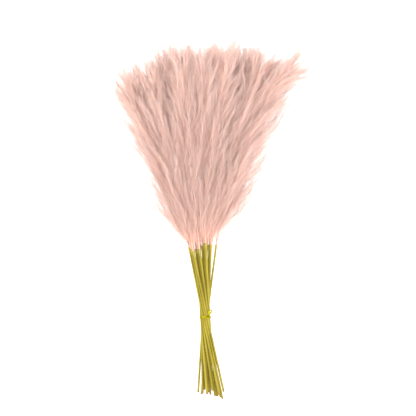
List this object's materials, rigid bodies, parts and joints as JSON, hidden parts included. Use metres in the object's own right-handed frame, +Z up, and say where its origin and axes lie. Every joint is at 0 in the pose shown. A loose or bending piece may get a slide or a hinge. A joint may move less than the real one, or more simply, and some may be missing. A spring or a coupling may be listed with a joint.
{
  "type": "tied bunch of dried pampas grass",
  "caption": "Bunch of dried pampas grass lying flat: feathery pink plumes that fan out from slim yellow-green stems, gathered by a gold twist tie.",
  "frame": {"origin": "bottom centre of the bunch's bounding box, on the surface it lies on", "axes": "+Y along the bunch towards the plume tips, +X to its right seen from above, +Z up"},
  "size_m": [0.236, 0.447, 0.0747],
  "materials": {
    "stem": "dry grass stem, matt to satin, yellow-green",
    "plume": "fine soft hair, matt, pale pink",
    "tie": "shiny gold foil ribbon"
  },
  "bodies": {
    "root": {"stem_01": "stem", "stem_02": "stem", "stem_03": "stem", "stem_04": "stem", "stem_05": "stem", "stem_06": "stem", "stem_07": "stem", "stem_08": "stem", "stem_09": "stem", "stem_10": "stem", "stem_11": "stem", "stem_12": "stem", "stem_13": "stem", "stem_14": "stem", "stem_15": "stem", "stem_16": "stem", "stem_17": "stem", "stem_18": "stem", "plume_01": "plume", "plume_02": "plume", "plume_03": "plume", "plume_04": "plume", "plume_05": "plume", "plume_06": "plume", "plume_07": "plume", "plume_08": "plume", "plume_09": "plume", "plume_10": "plume", "plume_11": "plume", "plume_12": "plume", "plume_13": "plume", "plume_14": "plume", "plume_15": "plume", "plume_16": "plume", "plume_17": "plume", "plume_18": "plume", "twist_tie": "tie"}
  },
  "joints": []
}
